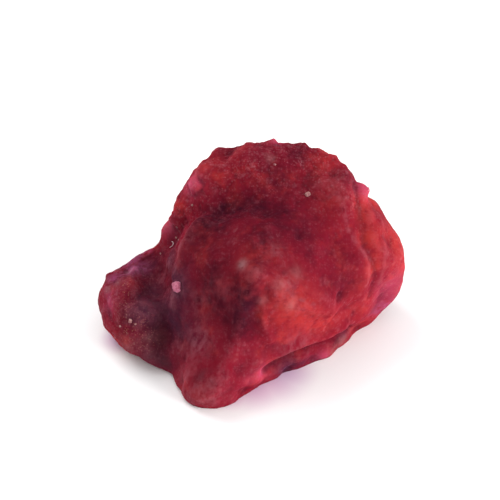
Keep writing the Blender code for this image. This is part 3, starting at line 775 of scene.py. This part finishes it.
def ruby_material():
    """Crimson corundum: its clouded colour with painted light, glow and shade in it, then frost, then pale
    sugar and painted glints, then dust, gold and flecks, each mixed over the last by a mask, with the
    grains' own height and shine."""
    material, wire, shader = new_material("rough_ruby")
    spot = wire.node("ShaderNodeTexCoord").outputs["Object"]

    def grains(size, share, fleck_share=0.0):
        return wire.node("ShaderNodeGroup", {
            "Vector": spot, "Grain Size": size * MILLIMETRE, "Share": share,
            "Fleck Share": fleck_share}, node_tree=sugar_grains)

    def cloudiness(size, detail, swirl=0.0, where=spot):
        cloud = wire.noise(where, 1 / (size * MILLIMETRE), detail, CLOUD_ROUGHNESS, swirl)
        return cloud.outputs["Fac"]

    coarse_sugar = grains(size=0.21, share=0.50)
    fine_sugar = grains(size=0.11, share=0.35, fleck_share=0.012)
    glint_grains = grains(size=0.070, share=0.35)
    gold_sugar = grains(size=0.065, share=0.17)
    cloud = cloudiness(size=1.5, detail=4.0)
    mottle = cloudiness(size=0.40, detail=3.0)
    wisps = cloudiness(size=0.70, detail=4.0, swirl=1.2)
    upright = wire.node("ShaderNodeMapping", {"Vector": spot, "Scale": STREAK_STRETCH})
    streaks = cloudiness(size=0.28, detail=3.0, where=upright.outputs["Vector"])
    rugged = wire.attribute("rugged")

    # The body: crimson with orange and maroon clouds in it, then orange painted light, maroon and purple
    # painted shade, a magenta painted glow and violet patches.
    colour = wire.mixed(wire.between(cloud, 0.50, 0.80), CRIMSON, ORANGE_RED)
    colour = wire.mixed(wire.times(wire.between(cloud, 0.48, 0.28), 0.4), colour, MAROON)
    # Orange painted light.
    painted_light = wire.times(wire.attribute("painted_light"), wire.between(mottle, 0.15, 0.60))
    colour = wire.mixed(painted_light, colour, ORANGE_RED)
    # Maroon painted shade.
    dark = wire.times(wire.attribute("dark"), wire.between(mottle, 1.20, 0.20))
    colour = wire.mixed(dark, colour, MAROON)
    # Purple painted shade.
    colour = wire.mixed(wire.attribute("purple"), colour, PAINTED_SHADE_PURPLE)
    # Magenta painted glow.
    colour = wire.mixed(wire.attribute("pink"), colour, PAINTED_GLOW_MAGENTA)
    violet = wire.times(wire.attribute("violet"), wire.between(mottle, 0.30, 0.60))
    colour = wire.mixed(violet, colour, VIOLET)
    # Maroon painted shade in the hollows.
    colour = wire.mixed(wire.times(wire.attribute("hollow"), 0.4), colour, MAROON)

    # Frost: on worn edges, in streaks on the frosty patches, and in thin wisps all over.
    worn = wire.times(wire.attribute("edge"), wire.between(mottle, 0.35, 0.60))
    frost = wire.times(wire.attribute("frosty"), wire.between(streaks, 0.32, 0.66))
    veil = wire.plus(wire.times(worn, 0.10), wire.times(frost, 0.35))
    veil = wire.plus(veil, wire.times(wire.between(wisps, 0.52, 0.72), 0.04), clamp=True)
    colour = wire.mixed(veil, colour, FROST)

    # Sugar: pale grains of two sizes and painted glints on the tiniest, most of them on rugged skin; the
    # pale grains are fewest under the painted shade.
    clear = wire.minus(1.0, wire.times(wire.attribute("dark"), 0.5))
    often = wire.times(wire.plus(0.14, wire.times(rugged, 0.14)), clear)
    often = wire.times(wire.between(wisps, 0.42, 0.62), often)
    colour = wire.mixed(wire.times(coarse_sugar.outputs["Pale"], often), colour, FROST)
    glitter = wire.times(wire.plus(0.09, wire.times(rugged, 0.16)), clear)
    colour = wire.mixed(wire.times(fine_sugar.outputs["Pale"], glitter), colour, FROST)
    clumps = wire.times(wire.between(mottle, 0.40, 0.62), wire.between(wisps, 0.35, 0.60))
    painted_glints = wire.times(wire.plus(0.05, wire.times(rugged, 0.28)), clumps)
    colour = wire.mixed(wire.times(glint_grains.outputs["Pale"], painted_glints), colour, PAINTED_GLINT)

    # What lies on it: dust in the pores, a gold sparkle, and rare dark flecks.
    dusty = wire.times(wire.attribute("dusty"), wire.between(mottle, 0.10, 0.60))
    colour = wire.mixed(wire.times(dusty, 0.55), colour, DUST)
    gold = wire.times(gold_sugar.outputs["Pale"], wire.attribute("gold"))
    colour = wire.mixed(wire.times(gold, 0.6), colour, GOLDEN)
    flecks = wire.times(fine_sugar.outputs["Fleck"], wire.times(rugged, 0.5))
    colour = wire.mixed(flecks, colour, FLECK)
    wire.feed(shader.inputs["Base Color"], colour)

    # The skin: grains shine a little more than what is between them, and stand up from it.
    rough = wire.minus(0.72, wire.times(fine_sugar.outputs["Pale"], 0.25))
    wire.feed(shader.inputs["Roughness"], rough)
    height = wire.plus(wire.times(coarse_sugar.outputs["Height"], 0.6),
                       wire.times(fine_sugar.outputs["Height"], 0.4))
    height = wire.times(height, wire.plus(0.5, wire.times(rugged, 0.7)))
    bump = wire.node("ShaderNodeBump", {"Height": height, "Strength": 0.7, "Distance": GRAIN_HEIGHT})
    wire.feed(shader.inputs["Normal"], bump.outputs["Normal"])
    shader.inputs["Specular IOR Level"].default_value = FROSTED_SHINE
    shader.inputs["IOR"].default_value = FROSTED_IOR
    shader.inputs["Subsurface Weight"].default_value = GLOW_SHARE
    shader.inputs["Subsurface Radius"].default_value = GLOW_SPREAD
    shader.inputs["Subsurface Scale"].default_value = GLOW_DEPTH
    return material


ruby.data.materials.append(ruby_material())
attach(ruby, "root")
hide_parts("ruby_crystal")

# ---------------------------------------------------------------------------------------------
# A pink grain: a loose bead of paler corundum, two little blocks grown together, that lies in the
# valley on the left, stuck by its own roughness.
# ---------------------------------------------------------------------------------------------
GRAIN_PLACE = (-3.03, -2.05, 4.1)
GRAIN_BLOCKS = (  # each block's middle over the skin, half-lengths and turn
    ((0.00, 0.00, 0.09), (0.18, 0.16, 0.18), (20, 25, 35)),
    ((0.06, -0.13, 0.04), (0.15, 0.13, 0.14), (-15, 10, 60)))
GRAIN_SQUARENESS = 5.0  # 2 would be an egg; the greater, the squarer
GRAIN_CELLS = 12  # along each edge of a block
GRAIN_UNEVENNESS = 0.012
DENT_SIZE, DENT_SALT = 0.12, 9  # the dents' size, and the number that sets their pattern apart
GRAIN_PINK, GRAIN_ROSE, GRAIN_GLOW = (0.50, 0.155, 0.235, 1.0), (0.34, 0.075, 0.125, 1.0), 0.4
DUST_SIZE, DUST_SHINE = 0.12, 0.2  # the size of the mottling on small loose pieces, and their shine
DUST_GLOW_DEPTH, DUST_GLOW_SPREAD = 0.1 * MILLIMETRE, (1.0, 0.5, 0.6)


def seat(where):
    """The stone's own point nearest to that place, and three axes there: two along and one out."""
    nearest = np.argmin(np.linalg.norm(skin - spot_at(where), axis=1))
    out = skin_normals[nearest]
    side = np.cross((0.0, 0.0, 1.0), out)
    side /= np.linalg.norm(side)
    return stone_points[nearest], np.array([side, np.cross(out, side), out])


def rounded_block(halves, squareness, cells):
    """A block with worn edges: each point of a cube's grid is drawn in until the sum of its sides, each
    raised to the squareness, is 1, and then stretched to the half-lengths."""
    places, _, quads = joined(cells)
    faces = places / cells
    reach = np.sum(np.abs(faces) ** squareness, axis=1, keepdims=True) ** (1 / squareness)
    return faces / reach * halves, quads


def scattered_blocks(name, blocks, squareness, cells, uneven):
    """One mesh of several blocks, each set on the stone: (where, middle, half-lengths, turn)."""
    points, quads = [], []
    for where, middle, halves, turn in blocks:
        block, faces = rounded_block(halves, squareness, cells)
        foot, axes = seat(where)
        block = (block @ turned(turn) + middle) @ axes
        block += uneven * swells(block + foot, DENT_SIZE, DENT_SALT)[:, None] * axes[2]
        quads.append(faces + sum(len(done) for done in points))
        points.append(block + foot)
    return smooth_piece(name, np.vstack(points), np.vstack(quads).tolist())


def dusty_cloud_group():
    """A fine cloud of a pale and a deep tone. It gives out their colour, a roughness that falls where the
    tone is pale, and a height that rises there."""
    tree, wire, given, out = group_shell(
        "dusty_cloud",
        [("Vector", "NodeSocketVector", None), ("Size", "NodeSocketFloat", 0.00012),
         ("Pale", "NodeSocketColor", None), ("Deep", "NodeSocketColor", None)],
        [("Color", "NodeSocketColor"), ("Roughness", "NodeSocketFloat"), ("Height", "NodeSocketFloat")])
    scale = wire.math("DIVIDE", 1.0, given.outputs["Size"])
    cloud = wire.noise(given.outputs["Vector"], scale, 3.0).outputs["Fac"]
    tone = wire.mixed(wire.between(cloud, 0.35, 0.65), given.outputs["Deep"], given.outputs["Pale"])
    wire.feed(out.inputs["Color"], tone)
    wire.feed(out.inputs["Roughness"], wire.minus(1.0, cloud))
    wire.feed(out.inputs["Height"], cloud)
    return tree


dusty_cloud = dusty_cloud_group()


def dusty_material(name, pale, deep, glow):
    """A frosted mineral finish: a fine cloud of two tones, matt, with light going a little way in."""
    material, wire, shader = new_material(name)
    cloud = wire.node("ShaderNodeGroup", {
        "Vector": wire.node("ShaderNodeTexCoord").outputs["Object"], "Size": DUST_SIZE * MILLIMETRE,
        "Pale": pale, "Deep": deep}, node_tree=dusty_cloud)
    wire.feed(shader.inputs["Base Color"], cloud.outputs["Color"])
    wire.feed(shader.inputs["Roughness"], cloud.outputs["Roughness"])
    bump = wire.node("ShaderNodeBump", {"Height": cloud.outputs["Height"], "Strength": 0.5,
                                        "Distance": 0.01 * MILLIMETRE})
    wire.feed(shader.inputs["Normal"], bump.outputs["Normal"])
    shader.inputs["Specular IOR Level"].default_value = DUST_SHINE
    shader.inputs["Subsurface Weight"].default_value = glow
    shader.inputs["Subsurface Radius"].default_value = DUST_GLOW_SPREAD
    shader.inputs["Subsurface Scale"].default_value = DUST_GLOW_DEPTH
    return material


pink_grain = scattered_blocks(
    "pink_grain", [(GRAIN_PLACE, *block) for block in GRAIN_BLOCKS],
    GRAIN_SQUARENESS, GRAIN_CELLS, GRAIN_UNEVENNESS)
pink_grain.data.materials.append(
    dusty_material("pale_pink_corundum", GRAIN_PINK, GRAIN_ROSE, GRAIN_GLOW))
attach(pink_grain, "root")

# ---------------------------------------------------------------------------------------------
# Pale specks: crumbs of greyish-white matrix rock that still sit in the stone's pores and on its
# foot. Each: its place, half-lengths in millimetres and turn; all are sunk by half.
# ---------------------------------------------------------------------------------------------
SPECKS = (
    ((27, 43), (0.13, 0.11, 0.07), (15, 0, 40)),
    ((-157, -16), (0.08, 0.10, 0.07), (0, 20, 10)), ((-159, -18), (0.06, 0.05, 0.05), (30, 0, 50)),
    ((-161, -24), (0.05, 0.05, 0.04), (0, 0, 0)), ((70, 52), (0.06, 0.05, 0.04), (0, 20, 10)),
    ((163, 2), (0.05, 0.04, 0.04), (20, 0, 0)), ((150, 26), (0.05, 0.06, 0.04), (0, 0, 15)),
    ((35, 12), (0.05, 0.06, 0.04), (0, 0, 60)), ((120, -8), (0.09, 0.07, 0.05), (10, 0, 30)),
    ((95, 20), (0.06, 0.06, 0.04), (0, 15, 20)), ((60, -20), (0.08, 0.06, 0.05), (0, 0, 45)),
    ((-3.8, 1.2, 4.3), (0.05, 0.04, 0.04), (0, 0, 25)), ((-3.6, 1.3, 4.7), (0.04, 0.04, 0.03), (0, 20, 0)),
    ((-4.2, 0.9, 3.4), (0.04, 0.05, 0.03), (15, 0, 0)), ((-5.1, -2.6, 2.3), (0.05, 0.04, 0.04), (0, 0, 70)))
SPECK_SQUARENESS, SPECK_UNEVENNESS = 2.8, 0.015
SPECK_CELLS = 6  # small ones need fewer faces
ROCK_PALE, ROCK_BROWN, ROCK_GLOW = (0.36, 0.19, 0.17, 1.0), (0.20, 0.06, 0.07, 1.0), 0.3
specks = scattered_blocks(
    "pale_specks", [(where, (0.0, 0.0, 0.0), halves, turn) for where, halves, turn in SPECKS],
    SPECK_SQUARENESS, SPECK_CELLS, SPECK_UNEVENNESS)
specks.data.materials.append(
    dusty_material("matrix_rock_dust", ROCK_PALE, ROCK_BROWN, ROCK_GLOW))
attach(specks, "root")

# ---------------------------------------------------------------------------------------------
# Lint: three hairs of pale dust fibre that cling to the frosted skin, one curled up in the left
# valley, one on the pink nub and one on the back.
# ---------------------------------------------------------------------------------------------
# Each fibre: its place, its radius, the radius of its curl, and the angles it starts and ends at.
FIBRES = (
    ((-3.75, 0.95, 3.95), 0.018, 0.17, (-40, 140)), ((19, 25), 0.013, 0.60, (60, 95)),
    ((96, 26), 0.012, 0.70, (150, 185)))
FIBRE_LIFT = 0.02  # how far its middle line is over the skin
FIBRE_STEPS, FIBRE_SIDES = 24, 8
RISE_NEIGHBOURS = 3  # on each side of a point, that its rise is averaged with
TAPER_POWER = 8  # the greater, the nearer to its ends a fibre keeps its thickness
LINT_PALE, LINT_GREY = (0.60, 0.42, 0.43, 1.0), (0.38, 0.22, 0.24, 1.0)


def fibre_points(where, radius, curl, angles):
    """A round tube carried along an arc that lies on the skin: its path is the arc's points brought to
    the stone's nearest points, and its circle is turned to the path and shrinks to nothing at both ends.
    Its points are the path's first, then the rings round the path one after another, then its last."""
    foot, axes = seat(where)
    turns = np.radians(np.linspace(*angles, FIBRE_STEPS))
    middle = np.radians(np.mean(angles))
    arc = np.stack([np.cos(turns) - np.cos(middle), np.sin(turns) - np.sin(middle)], axis=1)
    arc = curl * arc @ axes[:2]
    nearest = np.argmin(np.linalg.norm(stone_points[None] - (foot + arc)[:, None], axis=2), axis=1)
    rise = np.sum((stone_points[nearest] - foot) * axes[2], axis=1)
    window = 2 * RISE_NEIGHBOURS + 1
    rise = np.convolve(np.pad(rise, RISE_NEIGHBOURS, mode="edge"), np.ones(window) / window, mode="valid")
    path = foot + arc + np.outer(rise + FIBRE_LIFT, axes[2])
    along = np.gradient(path, axis=0)
    along /= np.linalg.norm(along, axis=1, keepdims=True)
    side = np.cross(along, axes[2])
    side /= np.linalg.norm(side, axis=1, keepdims=True)
    up = np.cross(side, along)
    round_angle = np.linspace(0, 2 * math.pi, FIBRE_SIDES, endpoint=False)
    share = np.linspace(-1, 1, FIBRE_STEPS)
    taper = radius * np.sqrt(np.clip(1 - share**TAPER_POWER, 0, 1))[:, None, None]
    circle = np.cos(round_angle)[:, None] * side[:, None] + np.sin(round_angle)[:, None] * up[:, None]
    rings = path[:, None] + taper * circle
    return np.vstack([path[:1], rings[1:-1].reshape(-1, 3), path[-1:]])


def fibre_faces(first):
    """The faces of the fibre whose points are numbered from first: triangles from its two ends to the
    rings next to them, and cells between the rings."""
    rings = first + 1 + np.arange((FIBRE_STEPS - 2) * FIBRE_SIDES).reshape(-1, FIBRE_SIDES)
    after = np.roll(rings, -1, axis=1)  # each point's neighbour round its ring
    cells = np.stack([rings[1:], after[1:], after[:-1], rings[:-1]], axis=-1).reshape(-1, 4)
    start, end = np.full_like(rings[0], first), np.full_like(rings[0], rings[-1, -1] + 1)
    near_end = np.stack([start, rings[0], after[0]], axis=1)
    far_end = np.stack([end, after[-1], rings[-1]], axis=1)
    return [*near_end.tolist(), *cells.tolist(), *far_end.tolist()]


fibres = [fibre_points(*fibre) for fibre in FIBRES]
lint = smooth_piece(
    "lint_fibres", np.vstack(fibres),
    [face for k, fibre in enumerate(fibres) for face in fibre_faces(k * len(fibre))])
lint.data.materials.append(dusty_material("pale_lint", LINT_PALE, LINT_GREY, glow=0.0))
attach(lint, "root")

# ---------------------------------------------------------------------------------------------
# The studio: a floor of pale matt paper, with a rosy shadow painted into its colour in front of the
# stone and by its left foot. A large soft light stands low in front on the right and a weaker one
# behind on the left, with white light from all round. The camera looks down on the stone from in front.
# ---------------------------------------------------------------------------------------------
FLOOR_HALF = 0.5  # metres
PALE_PAPER = (0.95, 0.945, 0.95, 1.0)
PAINTED_SHADOW_PAPER = (0.74, 0.52, 0.70, 1.0)  # a rosy painted shadow near the stone
PAINTED_SHADOWS = (  # middle and reach of each painted shadow: four in a band under the belly, one by the left foot
    ((-0.8, -4.1), 1.5), ((0.1, -3.75), 2.0), ((0.9, -3.2), 2.2), ((1.5, -2.9), 1.8),
    ((-6.0, -0.8), 1.2))
PAINTED_SHADOW_CORE = 0.1  # the share of the reach that is painted in full shadow
STONE_MIDDLE = (0.0, 0.0, 4.0)  # what the lights are turned to


def floor_plane():
    """A flat square at the height of the table: x and y are its two parameters."""
    across, along = np.meshgrid([-1.0, 1.0], [-1.0, 1.0])
    corners = np.stack([across, along, np.zeros_like(across)], axis=-1).reshape(-1, 3) * FLOOR_HALF
    mesh = bpy.data.meshes.new("floor")
    mesh.from_pydata(corners.tolist(), [], [[0, 1, 3, 2]])
    material, wire, shader = new_material("pale_floor")
    spot = wire.node("ShaderNodeTexCoord").outputs["Object"]
    # A rosy shadow painted into the floor's colour near the stone.
    shade = 0.0
    for (x, y), reach in PAINTED_SHADOWS:
        away = wire.node("ShaderNodeVectorMath", {0: spot, 1: (x * MILLIMETRE, y * MILLIMETRE, 0.0)},
                         operation="DISTANCE").outputs["Value"]
        near = wire.between(away, reach * MILLIMETRE, PAINTED_SHADOW_CORE * reach * MILLIMETRE)
        shade = wire.math("MAXIMUM", shade, near)
    wire.feed(shader.inputs["Base Color"], wire.mixed(shade, PALE_PAPER, PAINTED_SHADOW_PAPER))
    shader.inputs["Roughness"].default_value = 0.9
    mesh.materials.append(material)
    floor = bpy.data.objects.new("floor", mesh)
    bpy.context.scene.collection.objects.link(floor)
    return floor


floor_plane()


def aimed(obj, place, target):
    """Puts the object at place, in millimetres, looking at target."""
    obj.location = Vector(place) * MILLIMETRE
    obj.rotation_euler = (Vector(target) - Vector(place)).to_track_quat("-Z", "Y").to_euler()
    bpy.context.scene.collection.objects.link(obj)
    return obj


def soft_light(name, place, side, power):
    """A square light, its side in millimetres and its power in watts, turned to the stone."""
    light = bpy.data.lights.new(name, "AREA")
    light.size = side * MILLIMETRE
    light.energy = power
    return aimed(bpy.data.objects.new(name, light), place, STONE_MIDDLE)


soft_light("right_softbox", place=(93, -54, 33), side=70, power=0.160)
soft_light("back_softbox", place=(-54, 46, 91), side=80, power=0.075)

world = bpy.data.worlds.new("white_room")
world.use_nodes = True
room_light = world.node_tree.nodes["Background"]
room_light.inputs["Color"].default_value = (1.0, 1.0, 1.0, 1.0)
room_light.inputs["Strength"].default_value = 0.80
bpy.context.scene.world = world
bpy.context.scene.view_settings.view_transform = "Standard"

CAMERA_RISE = math.radians(42)  # the angle at which the camera looks down
CAMERA_AWAY = 90.0
VIEW_WIDTH = 22.73  # how much of the width through the target fills the picture
TARGET = (-BASE_MIDDLE[0], 0.76 - BASE_MIDDLE[1], 3.71)  # what is in the middle of the picture
SENSOR_WIDTH = 36.0
camera_data = bpy.data.cameras.new("camera")
camera_data.sensor_width = SENSOR_WIDTH
camera_data.lens = SENSOR_WIDTH * CAMERA_AWAY / VIEW_WIDTH
camera_data.clip_start = MILLIMETRE
camera_place = (TARGET[0], TARGET[1] - CAMERA_AWAY * math.cos(CAMERA_RISE),
                TARGET[2] + CAMERA_AWAY * math.sin(CAMERA_RISE))
bpy.context.scene.camera = aimed(bpy.data.objects.new("camera", camera_data), camera_place, TARGET)
